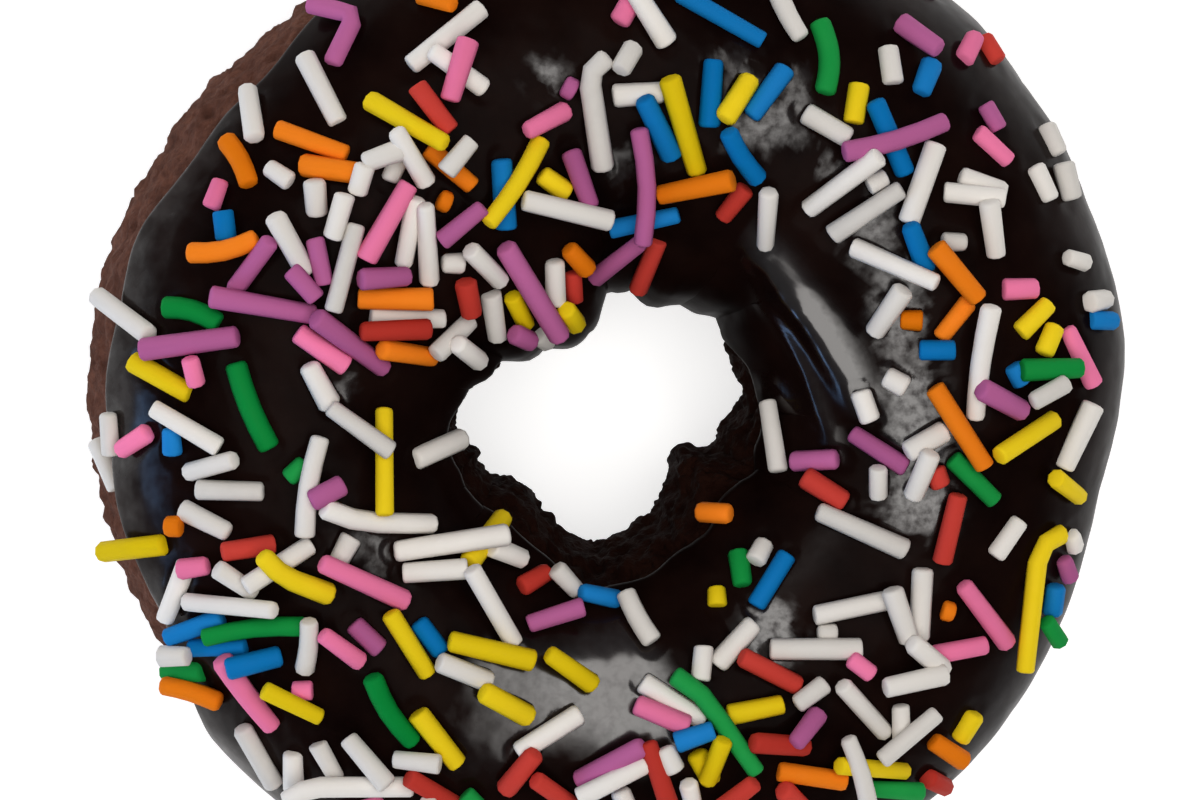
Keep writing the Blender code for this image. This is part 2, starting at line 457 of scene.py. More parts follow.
# Where the frosting dried glossy: x, y and width in millimetres, and how much gloss is added.
# The first places are broken up into specks, and the others are an even sheen.
speckledPlaces = (
    (12.6, -18.5, 1.7, 1.6), (12, -21, 1.5, 1.4),
    (23.5, 11, 2.6, 0.75), (24, 7, 2.4, 0.75), (24.6, 2.5, 2.2, 1.0), (25.5, -2, 2.6, 1.4), (25.2, -8, 2.6, 1.35),
    (21, 16, 2.4, 0.7), (17.2, 22.3, 2.4, 0.6), (9.8, 24.8, 2.2, 0.5), (12.8, 25.2, 2.2, 0.5),
    (9.4, 30.5, 2.2, 0.6), (14.3, 28.1, 2.2, 0.6), (-7.1, 29.5, 1.6, 0.7), (-0.7, 21.8, 2.4, 0.5),
    (-24.4, 2.9, 1.6, 0.7), (-21.7, -10.8, 2.6, 0.5), (-32.2, -19.6, 2.0, 0.5),
)
sheenPlaces = (
    (-0.5, -23.0, 3.6, 0.9), (1, -27, 4.0, 0.9), (-6, -24, 4.4, 0.8), (-12, -21.5, 3.2, 0.5), (-13, -29, 5.0, 0.4),
    (16.5, 1, 3.5, 0.4),
    (-43, 10, 9, 0.38), (-44, -3, 7, 0.42), (-40, -17, 7, 0.42), (-36, 24, 9, 0.36), (-32, -32, 8, 0.33),
)


def frostingMaterial():
    material, tree, shader = newMaterial("frosting")
    patches = placeGroup(tree, mottle, Scale=140, Contrast=2.4)
    fine = placeGroup(tree, mottle, Scale=420, Contrast=1.8, Shift=0.6)
    body = blendColours(tree, patches.outputs[0], frosting["dark"], frosting["brown"])
    # Pale brown along the lips: partly the thin glaze, partly a painted highlight.
    edged = blendColours(tree, attributeOf(tree, "lip"), body, frosting["lip"])
    tree.links.new(edged, shader.inputs["Base Color"])
    tree.links.new(spanValues(tree, fine.outputs[0], 0.34, 0.5), shader.inputs["Roughness"])
    shader.inputs["Specular IOR Level"].default_value = 0.015
    shader.inputs["Coat Roughness"].default_value = frosting["coatRoughness"]
    shader.inputs["Coat IOR"].default_value = frosting["coatIor"]
    specks = placeGroup(tree, mottle, Scale=1300, Contrast=2.6, Shift=0.2)
    worn = add(tree, "ShaderNodeMath", operation="MULTIPLY")
    tree.links.new(attributeOf(tree, "speckled"), worn.inputs[0])
    tree.links.new(spanValues(tree, specks.outputs[0], 0.3, 1.3), worn.inputs[1])
    grainy = add(tree, "ShaderNodeMath", operation="MULTIPLY")
    tree.links.new(attributeOf(tree, "sheen"), grainy.inputs[0])
    tree.links.new(spanValues(tree, specks.outputs[0], 0.78, 1.14), grainy.inputs[1])
    both = add(tree, "ShaderNodeMath", operation="ADD", use_clamp=True)
    tree.links.new(grainy.outputs[0], both.inputs[0])
    tree.links.new(worn.outputs[0], both.inputs[1])
    tree.links.new(both.outputs[0], shader.inputs["Coat Weight"])
    skin = placeGroup(tree, grain, Scale=1100, Pore_Scale=500, Pore_Depth=0.15)
    tree.links.new(bumpFrom(tree, skin.outputs[0], 0.12, 0.1 * mm), shader.inputs["Normal"])
    return material


def glossAt(coords, places, ragged):
    # gloss gathered round the places; a ragged edge breaks it up into islands
    x, y = coords[:, 0] / mm, coords[:, 1] / mm
    total = np.zeros(len(x))
    for midX, midY, width, amount in places:
        total += amount * np.exp(-((x - midX) ** 2 + (y - midY) ** 2) / width ** 2)
    edge = np.clip((total + ragged * noiseAt(coords, frosting["ragged"], 3, 8) - 0.25) / 0.35, 0, 1)
    return frosting["glossMost"] * edge * np.clip(total, 0, 1)


def foldsAt(turn, radius):
    # the height that the folds add, and the gloss along them
    height, gloss = np.zeros(len(turn)), np.zeros(len(turn))
    for fold in folds:
        low, high = np.radians(fold["turns"])
        middle, half = (low + high) / 2, (high - low) / 2
        apart = np.remainder(turn - middle + math.pi, fullTurn) - math.pi
        share = np.clip((apart + half) / (2 * half), 0, 1)
        first, halfway, last = fold["radii"]
        line = (first * (1 - share) ** 2 + last * share ** 2
                + (2 * halfway - (first + last) / 2) * 2 * share * (1 - share)) * mm
        fade = np.clip(1 - np.abs(apart) / half, 0, 1) ** 0.5
        across = (radius - line) / (fold["width"] * mm)
        height += fold["height"] * mm * fade * np.exp(-across ** 2)
        gloss += fold["gloss"] * np.clip(1.6 * fade, 0, 1) * np.exp(-((across - 0.6) / 0.9) ** 2)
    return height, gloss


def frostingShape():
    shares = spread(frosting["shares"])
    under = frosting["underSteps"]
    bm, turn, place = plainRing(frosting["turns"], len(shares) + under)
    onTop = place < len(shares)
    share = np.where(onTop, shares[np.minimum(place, len(shares) - 1)], 1 - (place - len(shares)) / under)
    outer = readMap(outerLipMap, turn, 0 * turn)
    inner = readMap(innerLipMap, turn, 0 * turn)
    outer = outer + np.radians(1.6) * np.sin(turn * 17 + 1.0) * np.sin(turn * 5 + 0.4)
    inner = inner + np.radians(2.0) * np.sin(turn * 11 + 2.0) * np.sin(turn * 4)
    lean = outer + (inner - outer) * share
    base = doughSurface(turn, lean)
    normals = doughNormal(turn, lean)
    arc = (inner - outer) * readMap(doughMap, turn, lean)
    fromLip = np.minimum(share, 1 - share) * arc
    rounding = np.sqrt(1 - (1 - np.clip(fromLip / frosting["lipRound"], 0, 1)) ** 2)
    body = frosting["lipThickness"] + (crownThickness - frosting["lipThickness"]) * np.sin(math.pi * share)
    radius = np.hypot(base[:, 0], base[:, 1])
    crowned = np.clip((np.degrees(lean) - 70) / 15, 0, 1)
    body = body + frosting["waveHeight"] * noiseAt(base, frosting["waveSize"], 1, 5)
    body = body + frosting["lumpHeight"] * noiseAt(base, frosting["lumpSize"], 1, 6)
    body = body + frosting["rippleHeight"] * noiseAt(base, frosting["rippleSize"], 1, 7)
    folded, foldGloss = foldsAt(turn, radius)
    body = body + folded * crowned
    height = np.where(onTop, body * rounding, 0) - frosting["tuck"] * np.where(onTop, 1 - rounding, 1)
    # how far the pale lip colour reaches: partly thin glaze, partly a painted highlight, weaker on the inner lip
    lip = np.clip(1 - fromLip / frosting["edge"], 0, 1) * onTop * np.where(share < 0.5, 1, 0.35)
    uneven = np.clip(1 + 0.4 * noiseAt(base, frosting["waveSize"], 1, 9), 0.5, 1.5)
    side = frosting["sideGloss"] * uneven * soften((50 - np.degrees(lean)) / 80)
    sheen = frosting["gloss"] + side + foldGloss * crowned + glossAt(base, sheenPlaces, 0.12)
    looks = dict(lip=lip, speckled=glossAt(base, speckledPlaces, 0.6), sheen=sheen * (1 - lip))
    return bm, base + normals * height[:, None], normals, onTop, looks


print("frosting")
frostingMesh, frostingCoords, frostingNormals, frostingTop, frostingLooks = frostingShape()
setCoords(frostingMesh, frostingCoords)
frostingTree = BVHTree.FromBMesh(frostingMesh)


# The camera looks down on the ring. Its frame also says where the sprinkles that it sees lie.
view = dict(distance=0.60, tilt=9.0, towards=138.0, width=106.8 * mm, aim=(-0.5 * mm, -0.4 * mm, 14 * mm),
            ringMiddle=(0.53 * mm, 0.445 * mm))     # of the ring, from the middle of the view


def viewFrame():
    tilt, towards = math.radians(view["tilt"]), math.radians(view["towards"])
    back = Vector((math.sin(tilt) * math.cos(towards), math.sin(tilt) * math.sin(towards), math.cos(tilt)))
    right = Vector((0, 1, 0)).cross(back).normalized()
    return right, back.cross(right), back


viewRight, viewUp, viewBack = viewFrame()
eye = Vector(view["aim"]) + viewBack * view["distance"]

# Sprinkles: rods laid one by one on the frosting, and on each other where they cross.
rod = dict(radius=0.90 * mm, sides=8, sink=0.30, closeness=0.93, sampleGap=0.4 * mm,
           mostStretch=1.7, heapFrom=1.8 * mm, pressed=0.6, lean=0.45, steepest=0.45,
           strays=42, straysPast=35.8 * mm, roughness=(0.55, 0.75))

colours = dict(
    white=dict(colour=(0.78, 0.745, 0.70), share=0.37),
    yellow=dict(colour=(0.83, 0.60, 0.003), share=0.125),
    orange=dict(colour=(0.88, 0.21, 0.003), share=0.105),
    red=dict(colour=(0.54, 0.039, 0.026), share=0.10),
    purple=dict(colour=(0.45, 0.11, 0.29), share=0.115),
    blue=dict(colour=(0.001, 0.19, 0.525), share=0.085),
    pink=dict(colour=(0.90, 0.20, 0.39), share=0.075),
    green=dict(colour=(0.002, 0.276, 0.046), share=0.04),
)

# Rods in the order they fell: colour, then x and y of both ends in millimetres from the ring's middle,
# as seen from the camera. A bent one also has its bend in degrees, where along it, and over what share.
fallen = (
    # top, left of the middle
    ("white", -26.9, 30.3, -23.8, 24.2), ("white", -32.1, 27.6, -31.1, 22.6),
    ("orange", -34.1, 22.9, -31.6, 18.6, -20), ("orange", -29.4, 23.7, -23, 21.4),
    ("orange", -27.2, 20.6, -22, 19.6), ("white", -30.2, 20.4, -28, 18.9), ("pink", -34.3, 19.2, -35.2, 16.6),
    ("purple", -26.5, 34.8, -24.4, 29.4, -93, 0.48, 0.15), ("white", -11, 34.6, -17.4, 29.2),
    ("white", -15.6, 30.6, -10.7, 27.3), ("pink", -12.2, 31.7, -13.9, 26.2),
    ("orange", -16.7, 35.8, -13.4, 34.4), ("red", -17, 27.3, -13.9, 23.2), ("orange", -15.9, 22, -11.8, 18.5),
    ("yellow", -21.1, 26.6, -14.3, 22.1), ("white", -11.9, 22.7, -14.3, 19.8),
    ("orange", -14.9, 17.5, -13.8, 17), ("white", -19.3, 19, -18.4, 21), ("white", -22.2, 17.9, -21.4, 20.5),
    ("white", -21.6, 20.6, -18, 21.9), ("white", -18.8, 23.5, -15.8, 18.8), ("blue", -9.3, 21, -8.9, 14.7),
    ("yellow", -5.8, 19.7, -3.3, 17.9), ("yellow", -5.4, 22.6, -10.8, 15.4, -12),
    ("purple", -3, 21.6, -1.5, 16.8), ("pink", -7.3, 23.5, -3.3, 25.4), ("purple", -3.8, 27.6, -2.7, 27),
    ("white", 0.1, 30.2, -0.1, 19.9, 59, 0.2, 0.2),
    # top, right of the middle
    ("pink", 1.1, 33.1, 2.3, 35.2), ("white", 2.4, 36, 5.6, 31.4), ("white", 2.6, 31.1, 1.2, 28.8),
    ("white", 0.6, 26.6, 5.2, 26.9), ("blue", 3.3, 26.5, 6, 21), ("yellow", 5.6, 28.3, 8.2, 19.6),
    ("orange", 4.7, 17.5, 11.3, 19.4), ("red", 12.5, 18.5, 10.3, 15.6), ("blue", 6.5, 35.8, 14, 31.5),
    ("white", 15.3, 36, 17.4, 31.7, 12), ("green", 19, 33.4, 19.4, 26.8, -35), ("blue", 9.6, 29.9, 9.2, 23.8),
    ("yellow", 13, 28.3, 10.4, 24.5), ("blue", 16.1, 29.2, 12.8, 24.8), ("blue", 10.8, 23.6, 13.7, 19, 15),
    ("yellow", 22.6, 27.7, 22, 24.2), ("white", 17.7, 25.2, 21.7, 22.8), ("white", 25.1, 31, 25.6, 27.7),
    ("blue", 29.1, 29.7, 28, 26.8), ("blue", 23.8, 26.2, 26.8, 19.6), ("white", 29.4, 22.4, 26.9, 15.3),
    ("purple", 21.1, 21.6, 30.4, 24.4, 12), ("purple", 26.6, 33.7, 29.4, 30.5), ("pink", 32.9, 32, 31.8, 29.8),
    ("red", 33.6, 31.9, 34.8, 29.6), ("purple", 33.7, 25.9, 35, 23.6), ("pink", 32.9, 23.4, 36, 20.8),
    ("white", 31.5, 19.5, 35.5, 17.9), ("white", 30.2, 18.1, 35.3, 17.4), ("white", 39.2, 24.1, 40.3, 21.4),
    ("white", 38.1, 20.4, 39.6, 17.3), ("white", 40.4, 20.6, 41.5, 17.4), ("white", 23.3, 18.6, 25, 19.4),
    ("white", 24.2, 21.4, 18.1, 16.3), ("white", 26.3, 18.4, 20.1, 14.1), ("white", 14.5, 18.5, 14.2, 12.7),
    # left of the hole
    ("blue", -34, 16.4, -33.8, 13.8), ("orange", -37.2, 12.7, -31, 14, 26), ("purple", -29.6, 13.8, -33.4, 9.2),
    ("purple", -35.1, 8.8, -26, 7.1), ("white", -29.4, 16, -26.7, 10.8), ("purple", -25.9, 14, -25, 9.8),
    ("purple", -28.1, 11.2, -25.7, 8.5), ("purple", -26.1, 7.2, -19.4, 2), ("green", -39.4, 7.8, -34.4, 6.3, -30),
    ("white", -46, 9, -40, 5.2), ("purple", -41.4, 4, -32.7, 5.2), ("yellow", -42.3, 3.1, -37, 0.1),
    ("pink", -37, 3.3, -36.7, 0.8), ("pink", -27.5, 5.6, -23, 2.5), ("white", -26.5, 2.8, -24.4, -1.1),
    ("white", -25.9, 19.1, -25.8, 16), ("white", -23.2, 17.9, -24.4, 13.9), ("white", -22.2, 15.2, -24.3, 7.4),
    ("white", -17, 17.6, -17.9, 11.4), ("white", -16.3, 17.1, -15.5, 9.7), ("pink", -17.5, 18.8, -21.4, 12),
    ("purple", -14.6, 13.6, -11, 16.8), ("white", -7.3, 17.3, 0.5, 15.5), ("purple", -22, 10.4, -17.4, 10.5),
    ("orange", -22, 8.5, -15.4, 8.6), ("white", -21, 6.9, -14.3, 6.8), ("red", -21.9, 5.7, -15.5, 5.8),
    ("orange", -20.4, 4.4, -14.8, 3), ("white", -15.5, 3.8, -11.7, 6.5), ("white", -13.8, 4.9, -10.7, 2.6),
    ("white", -14.6, 11.7, -12.6, 11.7), ("red", -12.6, 10.2, -11.8, 7), ("white", -10.4, 9.2, -9.5, 4.8),
    ("yellow", -8.5, 9, -6.9, 6), ("white", -12.5, 13.3, -9.1, 9.9), ("white", -4.6, 12, -4.5, 8),
    ("red", -3, 11, -2.8, 8.3), ("orange", -3.4, 13.1, -1.4, 10.9), ("yellow", -3.9, 8, -2.4, 5.9),
    ("purple", -8.3, 5.6, -6.3, 4.6), ("white", -6.3, 5.7, -5, 4.5), ("purple", -9.1, 13.4, -3.8, 4.8),
    ("blue", 0.3, 14.7, 6.5, 16.1), ("purple", -0.9, 9.3, 3.2, 13.6), ("red", 4.7, 13.8, 2.8, 9.2),
    ("purple", 2.9, 23.7, 3.2, 13.5, -18), ("green", -33, 2.9, -29.9, -4.8, 12),
    # right of the hole
    ("white", 33.7, 17.1, 35, 12.4), ("white", 29.9, 13.6, 32.1, 13.6), ("blue", 26.9, 15.2, 28.7, 11.1),
    ("white", 22, 13.1, 29.4, 10), ("orange", 32.4, 8.4, 29.7, 5), ("orange", 29.2, 13.2, 33.3, 8.5),
    ("orange", 26.2, 6.7, 28.2, 6.6), ("white", 26.6, 9.5, 23.8, 5.4), ("blue", 27.9, 4, 31.1, 4),
    ("white", 34, 8, 33.2, -2.2, 8), ("pink", 35.3, 9.4, 38.4, 9.5), ("yellow", 39.5, 8.2, 36.8, 5.5),
    ("pink", 41, 6, 43.5, 0.8), ("yellow", 40.1, 6.2, 38.9, 3.6), ("blue", 36.2, 2.7, 37.2, 1),
    ("green", 37, 2.2, 42.4, 2.4), ("white", 40.8, 12.2, 43, 11.8), ("blue", 43, 6.7, 45.3, 6.6),
    ("white", 42.6, 8.2, 45, 8.6), ("white", 24.8, 1.7, 26.8, 0.6), ("purple", 33.1, 0.7, 37.5, -1.6),
    ("white", 37.8, -0.7, 41.1, 1.1), ("white", 14.4, -0.5, 15.3, -6.8), ("purple", 16.5, -5.9, 20.7, -5.7),
    ("red", 17.6, -7.2, 21.3, -9.6), ("white", 18.8, -10.3, 26.8, -13.9), ("purple", 21.8, -3.3, 26.8, -6.5),
    ("orange", 8.2, -10.4, 11.2, -10.6), ("green", 11.7, -13.8, 12.2, -17), ("white", 14.1, -13, 13.3, -14.9),
    ("blue", 16.2, -14.1, 13.3, -18.8), ("yellow", 9.8, -17.1, 9.9, -18.8), ("white", 22.6, 0.4, 23.6, -2.4),
    ("white", 24.3, -6.4, 24.2, -9.2), ("white", 26.7, -5.1, 30.3, -3.2), ("red", 29.2, -6.5, 29.9, -8.2),
    ("white", 28.9, -5, 27.3, -9.3), ("green", 30.8, -5.6, 34.7, -9.5), ("orange", 29.2, 0.7, 33.8, -6.5),
    ("yellow", 34.5, -5.3, 40.6, -2.4), ("white", 43, -0.7, 41, -6.6), ("yellow", 39.3, -7.1, 42.9, -9.4),
    ("red", 31.3, -8.8, 30, -15), ("white", 36.9, -11.1, 34.6, -14.4), ("white", 41.2, -12.3, 42, -13.8),
    ("purple", 40.7, -14.5, 41.4, -16.5), ("blue", 39.9, -16.9, 39.8, -19.6), ("green", 38.6, -19.8, 39.9, -21.8),
    ("pink", 31.5, -16.7, 36.1, -22.4), ("yellow", 41.2, -12.6, 36.8, -24.5, 72, 0.18, 0.3),
    # bottom left
    ("white", -45.5, -4, -43.6, -8.4), ("white", -44.2, -1.6, -44.1, -5.4), ("pink", -43.4, -5, -40.5, -3.2),
    ("blue", -38.7, -2.9, -38.6, -5.4), ("white", -40.2, -1, -34.4, -4.7), ("white", -37.6, -7.1, -32.7, -5.6),
    ("white", -36.5, -8.4, -30.5, -8.6), ("white", -37.9, -10.1, -33.5, -12.3), ("orange", -39, -11.6, -37.6, -11.6),
    ("yellow", -45, -14, -39.1, -13.3), ("white", -37.3, -15, -39.3, -20.1), ("pink", -38, -15.5, -35.3, -15.1),
    ("red", -34.1, -13.9, -29.6, -13.4), ("white", -34.5, -15.2, -31.4, -17.9),
    ("white", -32, -17, -26.3, -13.4), ("yellow", -30.5, -14, -24.4, -18, 28, 0.35, 0.5),
    ("green", -28.4, -7.5, -26.7, -6), ("white", -25.4, -3.7, -26.8, -12.7, 14),
    ("white", -25.5, -10.1, -14.9, -11.4, 22, 0.3, 0.6), ("purple", -26.3, -9.5, -23.3, -7.9),
    ("yellow", -19.4, -1.2, -20, -10.7), ("white", -24.5, -1.1, -19.2, -5),
    ("white", -22.6, -12.6, -23.9, -15), ("pink", -25.4, -14.8, -17.6, -18.5), ("white", -17.1, -5.8, -12.6, -3.8),
    ("yellow", -8.7, -10.5, -12.6, -15.3), ("white", -10.5, -13.7, -7, -14.4),
    ("white", -18.6, -13.8, -8.8, -12.5), ("white", -17.9, -15.8, -12.5, -15.5),
    ("white", -12.4, -15.7, -7.7, -21.9), ("red", -7.6, -17.1, -5.1, -15.6), ("white", -4.7, -15.6, -2.2, -17.3),
    ("blue", -2.5, -18.3, 1.2, -18.2), ("white", -38, -18.9, -28.9, -18.7), ("blue", -37.1, -22.5, -32, -22.4),
    ("blue", -39.4, -21.9, -34.6, -20.2), ("green", -35.8, -21.6, -26.8, -20.7, -15),
    ("white", -26.3, -19.9, -27, -24.8, -12), ("white", -39.2, -22.9, -36.7, -22.9),
    ("pink", -33.8, -23, -30, -30.1, 8), ("blue", -33.4, -24.1, -29.1, -23.4), ("green", -39.3, -24.7, -35.7, -24.6),
    ("orange", -39.4, -25.7, -34.6, -27.6, -14), ("white", -32.1, -29.3, -29.7, -35.1),
    ("pink", -27.9, -26.3, -26.1, -26.3), ("yellow", -30.4, -26, -25.5, -29), ("white", -27.9, -31.8, -27.8, -35.2),
    ("white", -25.7, -31, -23.9, -34.2), ("white", -28.2, -35.6, -17.4, -35.5, -40, 0.2, 0.3),
    ("white", -23.1, -30.7, -19.3, -34.5), ("pink", -25.2, -21.1, -21.8, -24), ("purple", -22.5, -20.3, -20, -22.7),
    ("blue", -16.8, -20.1, -14.5, -23), ("yellow", -19.3, -19.3, -15.7, -25), ("yellow", -14, -21.9, -6.3, -23.7),
    ("purple", -7, -20.5, -2.2, -19.3), ("white", -15, -23.7, -10.2, -25.6), ("yellow", -11.1, -26.3, -6.6, -28.8),
    ("yellow", -5.3, -23.1, -0.9, -25.8), ("green", -20.8, -24.8, -17.1, -31.2, 20),
    ("yellow", -16.8, -28.2, -13.1, -33), ("white", -18.9, -32.6, -14.7, -32.8), ("red", -17.5, -33.6, -13.4, -37),
    ("white", -7.9, -31.9, -2.2, -28.3), ("red", -6.3, -31.6, -9, -35.5), ("red", -6.4, -33.9, -2.9, -36.9),
    ("green", -12.6, -35.5, -11.2, -36.8),
    # bottom right
    ("white", 1.7, -17.6, 4.2, -21.8, 12), ("white", 18.8, -21.2, 20.6, -21.2), ("white", 18.5, -19.6, 25, -18.3),
    ("white", 14.6, -22.6, 22.8, -22.6), ("pink", 21.7, -23.4, 23.8, -25), ("white", 13.2, -20.3, 9.9, -24),
    ("white", 8.7, -22.3, 8.4, -25.4), ("red", 11.9, -23.3, 17.3, -25.9), ("white", 3.2, -25.5, 8.8, -29),
    ("yellow", 10.8, -28.5, 15.8, -27.5), ("green", 6, -24.9, 13.5, -33.7, -22, 0.25, 0.3),
    ("pink", 2.6, -27.5, 7.4, -29.5), ("red", 12.8, -30.7, 18.2, -31.5), ("purple", 19.2, -28.3, 16.6, -31),
    ("white", 16.9, -27.6, 19.6, -25.6), ("white", 20.6, -25.5, 25.3, -30.4), ("blue", 6.2, -31, 9.6, -29.8),
    ("yellow", 8, -31.7, 9.6, -34.6), ("yellow", 10.4, -30.5, 9.1, -34.7), ("white", 5.1, -31.4, 6.2, -33.6),
    ("white", 7.2, -34.3, 8, -37.2), ("purple", -2.6, -34.4, 3.3, -30.8), ("white", -2.5, -35.9, 3.7, -32.8),
    ("red", 3.7, -30.9, 6, -37.7), ("orange", 15.3, -33.5, 21.4, -34.4), ("red", 13.1, -34.2, 10, -37.5),
    ("red", 15.4, -34.6, 17.8, -37.2), ("white", 1.2, -35.1, 2.1, -37.2), ("white", 28.2, -15.4, 27.9, -21.9),
    ("white", 25.4, -17.2, 27.1, -22), ("orange", 29.9, -19.1, 31, -19.4), ("pink", 29, -23.2, 33.9, -22.2),
    ("white", 26.9, -21.8, 30.4, -24.8), ("white", 24.7, -26, 30.4, -24.9), ("white", 26.2, -27.6, 26.3, -31.2),
    ("yellow", 19.9, -32.1, 27.1, -33.9), ("white", 29.6, -28.3, 24.5, -32.6), ("yellow", 32.8, -28.2, 31.4, -30.8),
    ("orange", 29.1, -30.8, 31.8, -32.5), ("red", 28.2, -33.6, 30.7, -35.4), ("green", 23.3, -35, 28.2, -35.3),
    ("white", 21.5, -30.5, 23.5, -37.2, -12),
)

# The strays that the camera doesn't see. Each row is a share of them, then the least and the most.
lengths = ((0.16, 2.2, 3.4), (0.62, 3.8, 6.6), (0.22, 6.6, 9.2))      # millimetres
bends = ((0.62, 0, 6), (0.26, 12, 32), (0.12, 35, 75))                # degrees
chance = random.Random(11)
laid = []
laidPoints = np.zeros((0, 3))
doughTree = BVHTree.FromObject(doughRing, bpy.context.evaluated_depsgraph_get())


def pick(table):
    at = chance.random()
    for share, low, high in table:
        at -= share
        if at <= 0:
            return chance.uniform(low, high)
    return chance.uniform(*table[-1][1:])


def touch(start, way, reach=1.0):
    # where a line first meets the frosting or the dough
    hits = [tree.ray_cast(start, way, reach) for tree in (frostingTree, doughTree)]
    return min((hit for hit in hits if hit[0] is not None), key=lambda hit: hit[3], default=None)


def centreline(chord, bend, at, over):
    # from end to end along the first axis, curved in the rod's own plane; also its length
    steps = max(4, round(chord / rod["sampleGap"]))
    share = (np.arange(steps) + 0.5) / steps
    turned = np.clip((share - at) / over + 0.5, 0, 1)
    angle = math.radians(bend) * turned * turned * (3 - 2 * turned)
    x = np.concatenate(([0], np.cumsum(np.cos(angle))))
    y = np.concatenate(([0], np.cumsum(np.sin(angle))))
    size = chord / math.hypot(x[-1], y[-1])
    heading = math.atan2(y[-1], x[-1])
    along = (x * math.cos(heading) + y * math.sin(heading)) * size
    aside = (y * math.cos(heading) - x * math.sin(heading)) * size
    return along - chord / 2, aside, steps * size


def restingLine(along, heights):
    # the rod settles on the supports to each side of its middle: its level there and its slope
    near = int(np.argmin(np.abs(along)))
    level, slope = (heights[near], 0.0) if np.isfinite(heights[near]) else (-1.0, 0.0)
    for left in range(len(along)):
        for right in range(len(along)):
            if along[left] < 0 < along[right] and np.isfinite(heights[left]) and np.isfinite(heights[right]):
                tilt = (heights[right] - heights[left]) / (along[right] - along[left])
                middle = heights[left] - tilt * along[left]
                if middle > level:
                    level, slope = middle, tilt
    if abs(slope) > rod["steepest"]:
        # too steep to stay: it slid down until it lay flatter
        slope = math.copysign(rod["steepest"], slope)
        level = (heights - slope * along)[np.isfinite(heights)].max() - rod["radius"] * 0.5
    return level, slope


def settle(spot, normal, way, heading, one, slide=0.0):
    # lays a rod at a spot on the surface, with its heading as seen along the way of looking
    upward = (normal - way * rod["lean"]).normalized()
    forward = heading - way * (heading.dot(upward) / way.dot(upward))
    stretch = min(forward.length, rod["mostStretch"]) if one["seen"] else 1.0
    forward.normalize()
    sideways = upward.cross(forward)
    along, aside, length = centreline(one["chord"] * stretch, one["bend"], one["at"], one["over"])
    along = along + slide * stretch
    heights = np.full(len(along), -np.inf)
    for i in range(len(along)):
        point = spot + forward * along[i] + sideways * aside[i]
        found = touch(point + upward * 6 * mm, -upward, 20 * mm)
        if found:
            heights[i] = (found[0] - point).dot(upward) + one["radius"] - one["sink"]
    bare = heights.max()
    offset = laidPoints - np.array(spot)
    others = [offset @ np.array(axis) for axis in (forward, sideways, upward)]
    close = (np.abs(others[0]) < length) & (np.abs(others[1]) < length) & (np.abs(others[2]) < 12 * mm)
    others = [axis[close] for axis in others]
    clear = 2 * rod["radius"] * rod["closeness"]
    for i in range(len(along)):
        apart = (others[0] - along[i]) ** 2 + (others[1] - aside[i]) ** 2
        crossed = apart < clear ** 2
        if crossed.any():
            heights[i] = max(heights[i], (others[2][crossed] + np.sqrt(clear ** 2 - apart[crossed])).max())
    balance = slide * stretch
    level, slope = restingLine(along - balance, heights)
    level -= rod["pressed"] * max(0, level - bare - rod["heapFrom"])     # rods in a heap sink among each other
    points = [spot + forward * float(a) + sideways * float(b) + upward * float(level + slope * (a - balance))
              for a, b in zip(along, aside)]
    one.update(points=points, up=upward, length=length)
    return level > -0.5 and abs(slope) < 0.9, level - bare


def keep(one):
    global laidPoints
    laid.append(one)
    laidPoints = np.vstack((laidPoints, np.array([list(point) for point in one["points"]])))


def newRod(colour, chord, bend=0, at=0.5, over=0.9, seen=True):
    radius = rod["radius"] * chance.uniform(0.9, 1.1)
    return dict(colour=colour, chord=chord, bend=bend, at=at, over=over, seen=seen, radius=radius,
                sink=radius * 2 * rod["sink"] * chance.uniform(0.5, 1.4), tone=chance.random())


def lookThrough(x, y):
    # the line of sight through a place given from the ring's middle
    place = (Vector(view["aim"]) + viewRight * (x + view["ringMiddle"][0]) + viewUp * (y + view["ringMiddle"][1]))
    return (place - eye).normalized()


def seenAt(point):
    # where a point appears, from the ring's middle
    offset = point - eye
    scale = view["distance"] / -offset.dot(viewBack)
    return (offset.dot(viewRight) * scale - view["ringMiddle"][0], offset.dot(viewUp) * scale - view["ringMiddle"][1])


def laySeen(colour, x1, y1, x2, y2, *bent):
    start, end = Vector((x1, y1)) * mm, Vector((x2, y2)) * mm
    reach = end - start
    heading = (viewRight * reach.x + viewUp * reach.y).normalized()
    for share in sorted(np.linspace(0.1, 0.9, 9), key=lambda part: abs(part - 0.5)):
        aim = start.lerp(end, share)
        way = lookThrough(*aim)
        found = touch(eye, way)
        if found and found[0].z > 12 * mm:
            break
    else:
        print("no room for", colour, x1, y1)
        return
    one = newRod(colour, reach.length, *(bent or [chance.uniform(-8, 8)]))
    missed = Vector((0, 0))
    for _ in range(3):
        way = lookThrough(*(aim + missed))
        found = touch(eye, way) or found
        nearer = found[3] / view["distance"]
        one["chord"] = reach.length * nearer
        settle(found[0], found[1], way, heading, one, (0.5 - share) * reach.length * nearer)
        ends = Vector(seenAt(one["points"][0])), Vector(seenAt(one["points"][-1]))
        missed += (start + end - ends[0] - ends[1]) / 2
    keep(one)


